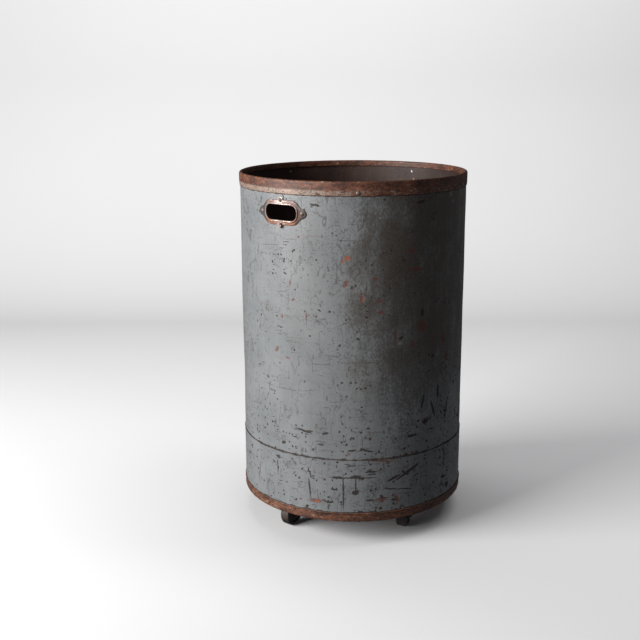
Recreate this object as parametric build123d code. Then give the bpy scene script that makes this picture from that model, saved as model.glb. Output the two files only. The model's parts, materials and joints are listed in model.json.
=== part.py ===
from build123d import *
import math
import os

# An open-topped steel drum on four swivel casters: a lapped sheet shell between two rolled rims,
# a kick band around its foot, a recessed bottom pan, and two handholes with riveted plates.
# Millimetres, +Z up. The origin is on the floor under the drum's centre. One handhole faces -Y.
# An azimuth is an angle about +Z, in degrees: 0 faces -Y and 90 faces +X.

# Drum
RIM_RADIUS = 230.0            # outside of the top rim
DRUM_HEIGHT = 665.0           # underside of the bottom rim to the crest of the top rim
FLOOR_CLEARANCE = 50.0        # floor to the underside of the bottom rim

# Sheet thicknesses
SHELL_SHEET = 1.2
TOP_RIM_SHEET = 2.0
BOTTOM_RIM_SHEET = 1.2
BAND_SHEET = 0.8
PAN_SHEET = 1.5
PLATE_SHEET = 1.5
SHEET_EDGE_GAP = 2.0          # from the edge of a sheet to the crest of the roll that holds it

# Rolled rims
TOP_ROLL_WIDTH = 7.0
TOP_OUTER_LEG = 27.0          # crest to the lower edge of the outside leg
TOP_INNER_LEG = 12.0          # crest to the lower edge of the inside leg
BOTTOM_OUTER_LEG = 19.0
BOTTOM_INNER_LEG = 13.0
BEAD_RADIUS = 1.3             # rolled bead along the bottom rim's upper edge
RIM_JOINT_GAP = 0.8           # the slit where the two ends of a rim meet
TOP_JOINT_AZIMUTH = -100.0
BOTTOM_JOINT_AZIMUTH = -75.0

# Laps where the ends of a sheet overlap, as arc lengths
SHELL_LAP = 20.0
SHELL_RAMP = 18.0
SHELL_SEAM_AZIMUTH = -90.0
BAND_LAP = 16.0
BAND_RAMP = 10.0
BAND_SEAM_AZIMUTH = -118.0

# Kick band and bottom pan
BAND_TOP = 129.0              # above the underside of the bottom rim
PAN_RECESS = 20.0             # underside of the bottom rim up to the underside of the pan
PAN_BEND = 3.0                # outside radius of the pan's bend

# Handholes
HANDHOLE_CENTRE = 603.0       # above the underside of the bottom rim
HANDHOLE_WIDTH = 73.0
HANDHOLE_HEIGHT = 29.0
HANDHOLE_CORNER = 12.5
FLANGE_WIDTH = 8.5            # flat ring of the handhole plate around its opening
LIP_WIDTH = 3.0               # raised lip around the opening
LIP_RISE = 1.5
CURL_WIDTH = 3.9              # the lip's tail, turned out over the inside of the shell
SIDE_EAR_X = 47.5
SIDE_EAR_RADIUS = 9.0
SIDE_EAR_ROOT = 31.0          # where an ear leaves the flange
SIDE_EAR_ROOT_WIDTH = 42.0
UPRIGHT_EAR_Z = 23.5
UPRIGHT_EAR_RADIUS = 6.0
UPRIGHT_EAR_ROOT = 18.0
UPRIGHT_EAR_ROOT_WIDTH = 20.0

# Rivets
RIVET_SHANK = 2.0             # shank radius
RIVET_HOLE = 2.1
RIVET_HEAD = 4.2
RIVET_HEAD_HEIGHT = 1.9
RIVET_TAIL = 3.3
RIVET_TAIL_HEIGHT = 1.3
RIVET_SEAT_GAP = 0.1          # a flat rivet tail stands this far off the curved sheet
RIM_RIVET_DROP = 21.5         # below the crest of the top rim
RIM_RIVET_FIRST = 38.6        # azimuth of the first rim rivet
RIM_RIVET_PITCH = 71.5
RIM_RIVET_PLACES = 5
EMPTY_PLACE = 2               # this place has lost its rivet and is an open hole
EMPTY_HOLE = 2.7
SEAM_RIVETS = 6
BAND_RIVETS = 3

# Hexagon bolt that replaces the front handhole's lowest rivet
REPAIR_HEAD_FLATS = 9.0
REPAIR_HEAD_HEIGHT = 4.4
REPAIR_NUT_FLATS = 7.0
REPAIR_NUT_HEIGHT = 3.2
REPAIR_THREAD_END = 1.2       # thread standing past the nut

# Casters
CASTER_SQUARE = 226.0         # side of the square that the four kingpins stand on
CASTER_SQUARE_AZIMUTH = 36.0  # facing of one side of that square
CASTERS = {"front": -45.0, "right": 45.0, "rear": 135.0, "left": 225.0}   # corners of the square
TRAILS = {"front": 2.5, "right": 17.5, "rear": 24.0, "left": -4.0}        # azimuth each wheel trails to
WHEEL_RADIUS = 25.0
WHEEL_WIDTH = 20.0
WHEEL_EDGE = 3.0
HUB_RADIUS = 8.5
HUB_LENGTH = 22.0
WEB_RADIUS = 18.5
WEB_DEPTH = 2.5
TRAIL = 20.0                  # kingpin axis to axle
AXLE_RADIUS = 3.0
BUSHING_RADIUS = 5.0
RUNNING_GAP = 0.06            # radial clearance of a shaft in its hole
FACE_GAP = 0.3                # between faces that turn past each other
FORK_SHEET = 2.0
FORK_INSIDE = 23.0            # between the two legs
CROWN_UNDERSIDE = 52.0
CROWN_RADIUS = 19.0
LEG_END_RADIUS = 9.0
LEG_WIDTH = 32.0              # width of a leg under the crown
BAR_WIDTH = 60.0              # flat bars that carry the casters under the pan
BAR_THICKNESS = 4.0
BAR_LENGTH = 320.0
PLATE_LENGTH = 66.0
PLATE_WIDTH = 52.0
PLATE_THICKNESS = 2.0
PLATE_CORNER = 6.0
BOLT_SPACING_X = 50.0
BOLT_SPACING_Y = 36.0
BOLT_RADIUS = 3.0
BOLT_HOLE = 3.3
BOLT_HEAD = 6.5
BOLT_HEAD_HEIGHT = 3.2
NUT_ACROSS_FLATS = 10.0
NUT_HEIGHT = 5.0
THREAD_END = 1.6              # thread standing past a nut
BALL_RADIUS = 2.5
BALL_COUNT = 13
BALL_CIRCLE = 12.0
RACE_INNER = 6.5
RACE_OUTER = 15.6
CUP_RADIUS = 18.5             # skirt of the top plate that covers the balls
CUP_SHEET = 1.6
CUP_SKIRT = 2.6
RACE_RISE = 3.2
RACE_GAP = 3.6                # between the faces of the upper and lower race
KINGPIN_RADIUS = 4.0
KINGPIN_HEAD = 7.2
KINGPIN_HEAD_HEIGHT = 2.1
KINGPIN_TAIL = 6.5
KINGPIN_TAIL_HEIGHT = 2.8

# Derived heights and radii
CREST = FLOOR_CLEARANCE + DRUM_HEIGHT
SHELL_OUTER = RIM_RADIUS - TOP_RIM_SHEET
SHELL_INNER = SHELL_OUTER - SHELL_SHEET
BAND_OUTER = SHELL_OUTER + BAND_SHEET
PAN_RADIUS = SHELL_INNER - SHELL_SHEET
BOTTOM_RIM_OUTER = BAND_OUTER + BOTTOM_RIM_SHEET
BOTTOM_ROLL_WIDTH = BOTTOM_RIM_OUTER - (PAN_RADIUS - PAN_SHEET - BOTTOM_RIM_SHEET)
SHEET_FOOT = FLOOR_CLEARANCE + BOTTOM_ROLL_WIDTH / 2
SHEET_HEAD = CREST - TOP_RIM_SHEET - SHEET_EDGE_GAP
PAN_UNDERSIDE = FLOOR_CLEARANCE + PAN_RECESS
PAN_FLOOR = PAN_UNDERSIDE + PAN_SHEET
BOTTOM_RIM_TOP = FLOOR_CLEARANCE + BOTTOM_OUTER_LEG
HOLE_Z = FLOOR_CLEARANCE + HANDHOLE_CENTRE
PLATE_TOP = PAN_UNDERSIDE - BAR_THICKNESS
CROWN_TOP = CROWN_UNDERSIDE + FORK_SHEET
BALL_Z = CROWN_TOP + RACE_RISE + RACE_GAP / 2


def turned(edges):
    """A solid of revolution about Z from an outline of radius and height."""
    return revolve(Plane.XZ * make_face(edges), Axis.Z)


def hoop(inner, outer, bottom, top):
    """A plain upright ring."""
    return Pos(0, 0, bottom) * extrude(Circle(outer) - Circle(inner), top - bottom)


def around(azimuth, shape):
    """Turn a shape that was drawn facing -Y round to an azimuth."""
    return Rot(0, 0, azimuth) * shape


def dome(radius, height):
    """A shallow spherical cap on Z = 0."""
    top = (0, height)
    edge = (radius, 0)
    return turned([Line((0, 0), edge), TangentArc(top, edge, tangent=(1, 0)), Line(top, (0, 0))])


def radial(azimuth, radius, height):
    """A plane that touches the drum, facing outwards, with its Y axis up."""
    return Rot(0, 0, azimuth) * Plane((0, -radius, height), x_dir=(1, 0, 0), z_dir=(0, -1, 0)).location


def rivet(azimuth, height, inner, outer):
    """A round-head rivet through the sheets between two radii, with its head outside."""
    grip = outer - inner + RIVET_SEAT_GAP
    shank = Pos(0, 0, -grip / 2) * Cylinder(RIVET_SHANK, grip)
    tail = Pos(0, 0, -grip) * Rot(180, 0, 0) * dome(RIVET_TAIL, RIVET_TAIL_HEIGHT)
    return radial(azimuth, outer, height) * (dome(RIVET_HEAD, RIVET_HEAD_HEIGHT) + shank + tail)


def drill(places, radius):
    """Radial pins that cut a hole through the drum's wall at each azimuth and height."""
    reach = 12.0
    return [radial(a, SHELL_OUTER, z) * Cylinder(radius, 2 * reach) for a, z in places]


def rolled_rim(outer, width, sheet, crest, outer_end, inner_end):
    """A ring of sheet folded over an edge: an outside leg, a round crest and an inside leg."""
    inner = outer - width
    middle = outer - width / 2
    upward = math.copysign(1, crest - outer_end)
    spring = crest - upward * width / 2
    return turned(
        [
            Line((outer, outer_end), (outer, spring)),
            ThreePointArc((outer, spring), (middle, crest), (inner, spring)),
            Line((inner, spring), (inner, inner_end)),
            Line((inner, inner_end), (inner + sheet, inner_end)),
            Line((inner + sheet, inner_end), (inner + sheet, spring)),
            ThreePointArc(
                (inner + sheet, spring), (middle, crest - upward * sheet), (outer - sheet, spring)
            ),
            Line((outer - sheet, spring), (outer - sheet, outer_end)),
            Line((outer - sheet, outer_end), (outer, outer_end)),
        ]
    )


def slit(azimuth, width, bottom, top):
    """A thin upright cutter through a rim where its ends meet."""
    depth = 20.0
    box = Box(width, depth, top - bottom, align=(Align.CENTER, Align.CENTER, Align.MIN))
    return around(azimuth, Pos(0, -RIM_RADIUS, bottom) * box)


def polar(radius, arc_length):
    """A point in plan on the -Y side, an arc length from the seam, positive towards +X."""
    angle = arc_length / SHELL_OUTER
    return (radius * math.sin(angle), -radius * math.cos(angle))


def plan_arc(radius, start, end):
    """An arc in plan between two arc lengths from the seam."""
    return ThreePointArc(polar(radius, start), polar(radius, (start + end) / 2), polar(radius, end))


def lap_strip(base, rise, edge, bend, foot):
    """Plan of the doubled sheet at a lap: a square edge, the full rise to a bend, a ramp to its foot."""
    return make_face(
        [
            Line(polar(base, edge), polar(base + rise, edge)),
            plan_arc(base + rise, edge, bend),
            Line(polar(base + rise, bend), polar(base, foot)),
            plan_arc(base, foot, edge),
        ]
    )


def joggle():
    """Plan of the step outside the shell's lap, where the inner end of the sheet dips under."""
    return make_face(
        [
            Line(polar(SHELL_OUTER, 0), polar(SHELL_INNER, 0)),
            Line(polar(SHELL_INNER, 0), polar(SHELL_OUTER, -SHELL_RAMP)),
            plan_arc(SHELL_OUTER, -SHELL_RAMP, 0),
        ]
    )


def handhole_outline(grow):
    """The handhole's rounded outline, grown outwards by a margin."""
    return RectangleRounded(
        HANDHOLE_WIDTH + 2 * grow, HANDHOLE_HEIGHT + 2 * grow, HANDHOLE_CORNER + grow
    )


def tapered(reach, radius, root, half_width):
    """A tongue along +X: a round end at reach, with straight sides back to a square root."""
    offset = root - reach
    tangent = math.atan2(half_width, offset)
    tangent -= math.copysign(math.acos(radius / math.hypot(offset, half_width)), reach - root)
    touch = (reach + radius * math.cos(tangent), radius * math.sin(tangent))
    mirrored = (touch[0], -touch[1])
    sides = Polygon((root, -half_width), mirrored, touch, (root, half_width), align=None)
    return sides + Pos(reach, 0) * Circle(radius)


def plate_outline():
    """The handhole plate: a flat ring with an ear for each of its four rivets."""
    outline = handhole_outline(FLANGE_WIDTH)
    side_ear = tapered(SIDE_EAR_X, SIDE_EAR_RADIUS, SIDE_EAR_ROOT, SIDE_EAR_ROOT_WIDTH / 2)
    upright_ear = tapered(UPRIGHT_EAR_Z, UPRIGHT_EAR_RADIUS, UPRIGHT_EAR_ROOT, UPRIGHT_EAR_ROOT_WIDTH / 2)
    for turn in (0, 180):
        outline += Rot(0, 0, turn) * side_ear
        outline += Rot(0, 0, turn + 90) * upright_ear
    return outline - handhole_outline(0)


def through_wall(outline):
    """A prism through the drum's wall at the handhole that faces -Y."""
    start = SHELL_OUTER - 24
    plane = Plane((0, -start, HOLE_Z), x_dir=(1, 0, 0), z_dir=(0, -1, 0))
    return extrude(plane * outline, 40)


def wall_layer(inner, outer, outline):
    """The part of the drum's wall between two radii that lies inside an outline."""
    reach = 60.0
    return hoop(inner, outer, HOLE_Z - reach, HOLE_Z + reach) & through_wall(outline)


def handhole_rivet_places():
    """Azimuth and height of the four rivets around the handhole that faces -Y, the lowest last."""
    swing = math.degrees(math.asin(SIDE_EAR_X / SHELL_OUTER))
    return [
        (-swing, HOLE_Z),
        (swing, HOLE_Z),
        (0, HOLE_Z + UPRIGHT_EAR_Z),
        (0, HOLE_Z - UPRIGHT_EAR_Z),
    ]


def rim_rivet_places():
    """Azimuth and height of every rivet place around the top rim."""
    height = CREST - RIM_RIVET_DROP
    return [(RIM_RIVET_FIRST + i * RIM_RIVET_PITCH, height) for i in range(RIM_RIVET_PLACES)]


def column(azimuth, count, low, high):
    """Evenly spaced rivet places up a seam."""
    return [(azimuth, low + (high - low) * i / (count - 1)) for i in range(count)]


def seam_rivet_places():
    """Rivet places up the middle of the shell's lap, between the kick band and the top rim."""
    middle = math.degrees(SHELL_LAP / 2 / SHELL_OUTER)
    margin = 45.0
    low = FLOOR_CLEARANCE + BAND_TOP + margin
    return column(SHELL_SEAM_AZIMUTH + middle, SEAM_RIVETS, low, CREST - TOP_OUTER_LEG - margin)


def band_rivet_places():
    """Rivet places up the middle of the kick band's lap."""
    middle = math.degrees(BAND_LAP / 2 / SHELL_OUTER)
    margin = 20.0
    high = FLOOR_CLEARANCE + BAND_TOP - margin
    return column(BAND_SEAM_AZIMUTH + middle, BAND_RIVETS, BOTTOM_RIM_TOP + margin, high)


def filled_rim_places():
    """The rim places that still have their rivet."""
    return [p for i, p in enumerate(rim_rivet_places()) if i != EMPTY_PLACE]


def rivet_row(places, inner, outer):
    """Separate rivets, one at each place."""
    return Compound([rivet(a, z, inner, outer) for a, z in places])


def shell():
    wall = hoop(SHELL_INNER, SHELL_OUTER, SHEET_FOOT, SHEET_HEAD)
    strip = lap_strip(SHELL_INNER, -SHELL_SHEET, SHELL_LAP, 0, -SHELL_RAMP)
    height = SHEET_HEAD - SHEET_FOOT
    lap = Pos(0, 0, SHEET_FOOT) * extrude(strip, height)
    step = Pos(0, 0, SHEET_FOOT) * extrude(joggle(), height)
    wall = wall + around(SHELL_SEAM_AZIMUTH, lap) - around(SHELL_SEAM_AZIMUTH, step)
    opening = through_wall(handhole_outline(PLATE_SHEET))
    handhole_holes = drill(handhole_rivet_places(), RIVET_HOLE)
    for facing in (0, 180):
        wall -= [around(facing, cutter) for cutter in [opening, *handhole_holes]]
    wall -= drill(filled_rim_places() + seam_rivet_places() + band_rivet_places(), RIVET_HOLE)
    return wall - drill([rim_rivet_places()[EMPTY_PLACE]], EMPTY_HOLE)


def top_rim():
    lower_edge = CREST - TOP_OUTER_LEG
    ring = rolled_rim(
        RIM_RADIUS, TOP_ROLL_WIDTH, TOP_RIM_SHEET, CREST, lower_edge, CREST - TOP_INNER_LEG
    )
    ring -= slit(TOP_JOINT_AZIMUTH, RIM_JOINT_GAP, lower_edge, CREST)
    ring -= drill(filled_rim_places(), RIVET_HOLE)
    return ring - drill([rim_rivet_places()[EMPTY_PLACE]], EMPTY_HOLE)


def bottom_rim():
    inner_end = FLOOR_CLEARANCE + BOTTOM_INNER_LEG
    ring = rolled_rim(
        BOTTOM_RIM_OUTER, BOTTOM_ROLL_WIDTH, BOTTOM_RIM_SHEET, FLOOR_CLEARANCE, BOTTOM_RIM_TOP, inner_end
    )
    bead = Pos(BAND_OUTER + BOTTOM_RIM_SHEET / 2, BOTTOM_RIM_TOP - BEAD_RADIUS) * Circle(BEAD_RADIUS)
    bead &= Pos(BAND_OUTER + BEAD_RADIUS, BOTTOM_RIM_TOP - BEAD_RADIUS) * Rectangle(
        2 * BEAD_RADIUS, 2 * BEAD_RADIUS
    )
    ring += revolve(Plane.XZ * bead, Axis.Z)
    return ring - slit(BOTTOM_JOINT_AZIMUTH, RIM_JOINT_GAP, FLOOR_CLEARANCE, BOTTOM_RIM_TOP)


def kick_band():
    top = FLOOR_CLEARANCE + BAND_TOP
    band = hoop(SHELL_OUTER, BAND_OUTER, SHEET_FOOT, top)
    strip = lap_strip(BAND_OUTER, BAND_SHEET, 0, BAND_LAP, BAND_LAP + BAND_RAMP)
    lap = Pos(0, 0, BOTTOM_RIM_TOP) * extrude(strip, top - BOTTOM_RIM_TOP)
    return band + around(BAND_SEAM_AZIMUTH, lap) - drill(band_rivet_places(), RIVET_HOLE)


def bottom_pan():
    """A shallow dish turned upside down: its flange hangs inside the foot of the shell."""
    inner = PAN_RADIUS - PAN_SHEET
    bend_x = PAN_RADIUS - PAN_BEND
    bend_z = PAN_FLOOR - PAN_BEND
    diagonal = math.sqrt(0.5)
    crown = (bend_x + PAN_BEND * diagonal, bend_z + PAN_BEND * diagonal)
    inner_bend = PAN_BEND - PAN_SHEET
    inner_crown = (bend_x + inner_bend * diagonal, bend_z + inner_bend * diagonal)
    pan = turned(
        [
            Line((0, PAN_UNDERSIDE), (0, PAN_FLOOR)),
            Line((0, PAN_FLOOR), (bend_x, PAN_FLOOR)),
            ThreePointArc((bend_x, PAN_FLOOR), crown, (PAN_RADIUS, bend_z)),
            Line((PAN_RADIUS, bend_z), (PAN_RADIUS, SHEET_FOOT)),
            Line((PAN_RADIUS, SHEET_FOOT), (inner, SHEET_FOOT)),
            Line((inner, SHEET_FOOT), (inner, bend_z)),
            ThreePointArc((inner, bend_z), inner_crown, (bend_x, PAN_UNDERSIDE)),
            Line((bend_x, PAN_UNDERSIDE), (0, PAN_UNDERSIDE)),
        ]
    )
    return pan - bolt_cutters()


def handhole_plate():
    """Flat eared ring outside, raised lip, throat through the wall and a curl over its inside."""
    curl_rise = SHELL_INNER - PLATE_SHEET
    throat = handhole_outline(PLATE_SHEET) - handhole_outline(0)
    lip = handhole_outline(LIP_WIDTH) - handhole_outline(0)
    curl = handhole_outline(CURL_WIDTH) - handhole_outline(0)
    plate = wall_layer(SHELL_OUTER, SHELL_OUTER + PLATE_SHEET, plate_outline())
    plate += wall_layer(SHELL_OUTER, SHELL_OUTER + PLATE_SHEET + LIP_RISE, lip)
    plate += wall_layer(curl_rise, SHELL_OUTER, throat)
    plate += wall_layer(curl_rise, SHELL_INNER, curl)
    return plate - drill(handhole_rivet_places(), RIVET_HOLE)


def handhole_bolt():
    """Hexagon-head bolt in the lowest hole of the front plate, with its head outside."""
    azimuth, height = handhole_rivet_places()[-1]
    seat = SHELL_OUTER + PLATE_SHEET
    length = seat - SHELL_INNER + RIVET_SEAT_GAP + REPAIR_NUT_HEIGHT + REPAIR_THREAD_END
    head = hexagon(REPAIR_HEAD_FLATS, REPAIR_HEAD_HEIGHT)
    shank = Pos(0, 0, -length / 2) * Cylinder(RIVET_SHANK, length)
    return radial(azimuth, seat, height) * (head + shank)


def handhole_nut():
    """The nut of that bolt, inside the shell."""
    azimuth, height = handhole_rivet_places()[-1]
    seat = SHELL_INNER - RIVET_SEAT_GAP
    nut = hexagon(REPAIR_NUT_FLATS, REPAIR_NUT_HEIGHT) - Cylinder(RIVET_SHANK, 3 * REPAIR_NUT_HEIGHT)
    return radial(azimuth, seat - REPAIR_NUT_HEIGHT, height) * nut


def caster_places():
    """Name and plan position of each caster."""
    reach = CASTER_SQUARE / math.sqrt(2)
    for name, corner in CASTERS.items():
        angle = math.radians(CASTER_SQUARE_AZIMUTH + corner)
        yield name, reach * math.sin(angle), -reach * math.cos(angle)


def plate_corners(x, y):
    """The four bolt positions of a caster whose kingpin stands at x, y."""
    for along in (-BOLT_SPACING_X / 2, BOLT_SPACING_X / 2):
        for across in (-BOLT_SPACING_Y / 2, BOLT_SPACING_Y / 2):
            offset = Vector(along, across, 0).rotate(Axis.Z, CASTER_SQUARE_AZIMUTH)
            yield x + offset.X, y + offset.Y


def bolt_places():
    return [spot for _, x, y in caster_places() for spot in plate_corners(x, y)]


def bolt_cutters():
    """A pin for every caster bolt, long enough for the pan, the bars and the top plates."""
    low = PLATE_TOP - 2 * PLATE_THICKNESS
    length = PAN_FLOOR - low + PLATE_THICKNESS
    pin = Cylinder(BOLT_HOLE, length, align=(Align.CENTER, Align.CENTER, Align.MIN))
    return [Pos(x, y, low) * pin for x, y in bolt_places()]


def caster_bar(side):
    """A flat bar under the pan that carries two casters."""
    bar = extrude(RectangleRounded(BAR_LENGTH, BAR_WIDTH, PLATE_CORNER), BAR_THICKNESS)
    bar = Pos(0, side * CASTER_SQUARE / 2, PLATE_TOP) * bar
    return around(CASTER_SQUARE_AZIMUTH, bar) - bolt_cutters()


def hexagon(across_flats, height):
    """A hexagonal prism standing on Z = 0."""
    return extrude(RegularPolygon(across_flats / 2, 6, major_radius=False), height)


def caster_bolts():
    """Round-head bolts with their heads on the pan's floor."""
    foot = PLATE_TOP - PLATE_THICKNESS - NUT_HEIGHT - THREAD_END
    length = PAN_FLOOR - foot
    bolt = Pos(0, 0, -length / 2) * Cylinder(BOLT_RADIUS, length) + dome(BOLT_HEAD, BOLT_HEAD_HEIGHT)
    return Compound([Pos(x, y, PAN_FLOOR) * bolt for x, y in bolt_places()])


def caster_nuts():
    bore = Cylinder(BOLT_RADIUS, 3 * NUT_HEIGHT)
    nut = hexagon(NUT_ACROSS_FLATS, NUT_HEIGHT) - bore
    height = PLATE_TOP - PLATE_THICKNESS - NUT_HEIGHT
    return Compound(
        [Pos(x, y, height) * Rot(0, 0, CASTER_SQUARE_AZIMUTH) * nut for x, y in bolt_places()]
    )


def caster_top_plate(x, y):
    """Fixed plate of a caster, with a drawn cup that holds the upper race and covers the balls."""
    under = PLATE_TOP - PLATE_THICKNESS
    race = BALL_Z + RACE_GAP / 2
    plate = extrude(RectangleRounded(PLATE_LENGTH, PLATE_WIDTH, PLATE_CORNER), PLATE_THICKNESS)
    plate = Pos(0, 0, under) * plate
    plate += hoop(RACE_INNER, CUP_RADIUS, race, under)
    plate += hoop(CUP_RADIUS - CUP_SHEET, CUP_RADIUS, race - CUP_SKIRT, race)
    plate -= Pos(0, 0, BALL_Z) * Torus(BALL_CIRCLE, BALL_RADIUS + FACE_GAP)
    plate += hoop(KINGPIN_RADIUS, KINGPIN_HEAD, PLATE_TOP - PLATE_THICKNESS - KINGPIN_HEAD_HEIGHT, under)
    head_seat = PLATE_TOP - KINGPIN_HEAD_HEIGHT
    plate -= Pos(0, 0, head_seat + PLATE_THICKNESS) * Cylinder(KINGPIN_HEAD, 2 * PLATE_THICKNESS)
    plate -= Pos(0, 0, PLATE_TOP) * Cylinder(KINGPIN_RADIUS, 4 * PLATE_THICKNESS)
    return Pos(x, y, 0) * Rot(0, 0, CASTER_SQUARE_AZIMUTH) * plate - bolt_cutters()


def caster_kingpin(x, y):
    """Rivet that holds the fork up to the plate, its head sunk flush and its tail peened over."""
    head_seat = PLATE_TOP - KINGPIN_HEAD_HEIGHT
    tail_seat = CROWN_UNDERSIDE - FACE_GAP
    pin = Pos(0, 0, (head_seat + tail_seat) / 2) * Cylinder(KINGPIN_RADIUS, head_seat - tail_seat)
    pin += Pos(0, 0, head_seat) * extrude(Circle(KINGPIN_HEAD), KINGPIN_HEAD_HEIGHT)
    pin += Pos(0, 0, tail_seat) * Rot(180, 0, 0) * dome(KINGPIN_TAIL, KINGPIN_TAIL_HEIGHT)
    return Pos(x, y, 0) * pin


def caster_balls():
    """One ring of loose steel balls between the races."""
    ball = Pos(0, -BALL_CIRCLE, BALL_Z) * Sphere(BALL_RADIUS)
    return Compound([around(360 * i / BALL_COUNT, ball) for i in range(BALL_COUNT)])


def fork_leg_outline():
    """Side view of a leg, in Y and Z: broad under the crown, round about the axle."""
    drop = CROWN_TOP - WHEEL_RADIUS
    return Pos(-TRAIL, CROWN_TOP) * Rot(0, 0, -90) * tapered(drop, LEG_END_RADIUS, 0, LEG_WIDTH / 2)


def caster_fork():
    """Pressed fork: a crown that turns on the kingpin and two legs down to the axle."""
    outside = FORK_INSIDE / 2 + FORK_SHEET
    tail = TRAIL + LEG_WIDTH / 2
    crown = Pos(0, -tail) * Rot(0, 0, 90) * tapered(tail, CROWN_RADIUS, 0, outside)
    fork = Pos(0, 0, CROWN_UNDERSIDE) * extrude(crown, FORK_SHEET)
    leg = extrude(Plane.YZ * fork_leg_outline(), FORK_SHEET)
    for side in (-outside, FORK_INSIDE / 2):
        fork += Pos(side, 0, 0) * leg
    fork += hoop(RACE_INNER, RACE_OUTER, CROWN_TOP, CROWN_TOP + RACE_RISE)
    fork -= Pos(0, 0, BALL_Z) * Torus(BALL_CIRCLE, BALL_RADIUS + RUNNING_GAP)
    fork -= Pos(0, 0, CROWN_TOP) * Cylinder(KINGPIN_RADIUS + RUNNING_GAP, 4 * RACE_RISE)
    return fork - Pos(0, -TRAIL, WHEEL_RADIUS) * Rot(0, 90, 0) * Cylinder(AXLE_RADIUS, 4 * outside)


def on_axle(shape):
    """Place a shape drawn along Z onto the axle, which runs along X."""
    return Pos(0, -TRAIL, WHEEL_RADIUS) * Rot(0, 90, 0) * shape


def caster_axle():
    """Hexagon-head bolt through both legs and the wheel."""
    seat = FORK_INSIDE / 2 + FORK_SHEET
    head_height = NUT_HEIGHT - 1
    length = 2 * seat + NUT_HEIGHT + THREAD_END
    shank = Pos(0, 0, seat - length / 2) * Cylinder(AXLE_RADIUS, length)
    return on_axle(Pos(0, 0, seat) * hexagon(NUT_ACROSS_FLATS, head_height) + shank)


def caster_axle_nut():
    seat = FORK_INSIDE / 2 + FORK_SHEET
    nut = hexagon(NUT_ACROSS_FLATS, NUT_HEIGHT) - Cylinder(AXLE_RADIUS, 3 * NUT_HEIGHT)
    return on_axle(Pos(0, 0, -seat - NUT_HEIGHT) * nut)


def caster_wheel():
    """Solid wheel with rounded edges, dished sides and a boss around its bushing."""
    tread = Cylinder(WHEEL_RADIUS, WHEEL_WIDTH)
    tread = fillet(tread.edges().filter_by(GeomType.CIRCLE), WHEEL_EDGE)
    dish = extrude(Circle(WEB_RADIUS) - Circle(HUB_RADIUS), WEB_DEPTH)
    for turn in (0, 180):
        tread -= Rot(turn, 0, 0) * Pos(0, 0, WHEEL_WIDTH / 2 - WEB_DEPTH) * dish
    tread += Cylinder(HUB_RADIUS, HUB_LENGTH)
    return on_axle(tread - Cylinder(BUSHING_RADIUS, 2 * HUB_LENGTH))


def caster_bushing():
    """Steel sleeve pressed into the wheel, which runs on the axle bolt."""
    length = FORK_INSIDE - 2 * FACE_GAP
    sleeve = Cylinder(BUSHING_RADIUS, length) - Cylinder(AXLE_RADIUS + RUNNING_GAP, 2 * length)
    return on_axle(sleeve)


def save(name, shape):
    export_step(shape, f"parts/{name}.step")


def save_drum():
    plate = handhole_plate()
    plate_outer = SHELL_OUTER + PLATE_SHEET
    places = handhole_rivet_places()
    save("shell", shell())
    save("top_rim", top_rim())
    save("bottom_rim", bottom_rim())
    save("kick_band", kick_band())
    save("bottom_pan", bottom_pan())
    for name, facing, riveted in (("front", 0, places[:-1]), ("rear", 180, places)):
        save(f"{name}_handhole_plate", around(facing, plate))
        save(f"{name}_handhole_rivets", around(facing, rivet_row(riveted, SHELL_INNER, plate_outer)))
    save("front_handhole_bolt", handhole_bolt())
    save("front_handhole_nut", handhole_nut())
    save("rim_rivets", rivet_row(filled_rim_places(), SHELL_INNER, RIM_RADIUS))
    save("seam_rivets", rivet_row(seam_rivet_places(), PAN_RADIUS, SHELL_OUTER))
    save("band_rivets", rivet_row(band_rivet_places(), SHELL_INNER, BAND_OUTER + BAND_SHEET))
    save("front_caster_bar", caster_bar(-1))
    save("rear_caster_bar", caster_bar(1))
    save("caster_bolts", caster_bolts())
    save("caster_nuts", caster_nuts())


def save_casters():
    turning = {
        "fork": caster_fork(),
        "balls": caster_balls(),
        "axle": caster_axle(),
        "axle_nut": caster_axle_nut(),
        "wheel": caster_wheel(),
        "bushing": caster_bushing(),
    }
    for name, x, y in caster_places():
        save(f"{name}_caster_plate", caster_top_plate(x, y))
        save(f"{name}_caster_kingpin", caster_kingpin(x, y))
        for piece, shape in turning.items():
            save(f"{name}_caster_{piece}", Pos(x, y, 0) * around(TRAILS[name], shape))


os.makedirs("parts", exist_ok=True)
save_drum()
save_casters()
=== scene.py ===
import bmesh
import bpy
import json
import math
from mathutils import Matrix, Vector, noise


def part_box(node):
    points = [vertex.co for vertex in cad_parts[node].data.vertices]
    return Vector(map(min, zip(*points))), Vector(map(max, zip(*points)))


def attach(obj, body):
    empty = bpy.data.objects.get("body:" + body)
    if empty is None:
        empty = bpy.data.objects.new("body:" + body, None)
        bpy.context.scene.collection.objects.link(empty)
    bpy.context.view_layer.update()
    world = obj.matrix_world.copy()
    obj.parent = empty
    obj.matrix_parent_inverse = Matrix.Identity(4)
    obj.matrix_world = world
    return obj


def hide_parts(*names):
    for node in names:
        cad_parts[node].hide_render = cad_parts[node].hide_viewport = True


# A worn, open-topped steel drum on casters: grey paint over sheet steel, rusted rolled rims.
# Metres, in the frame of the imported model: +Z up, the floor at Z = 0, the front handhole facing -Y.
# An azimuth is an angle about +Z, in degrees: 0 faces -Y and 90 faces +X.

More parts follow.
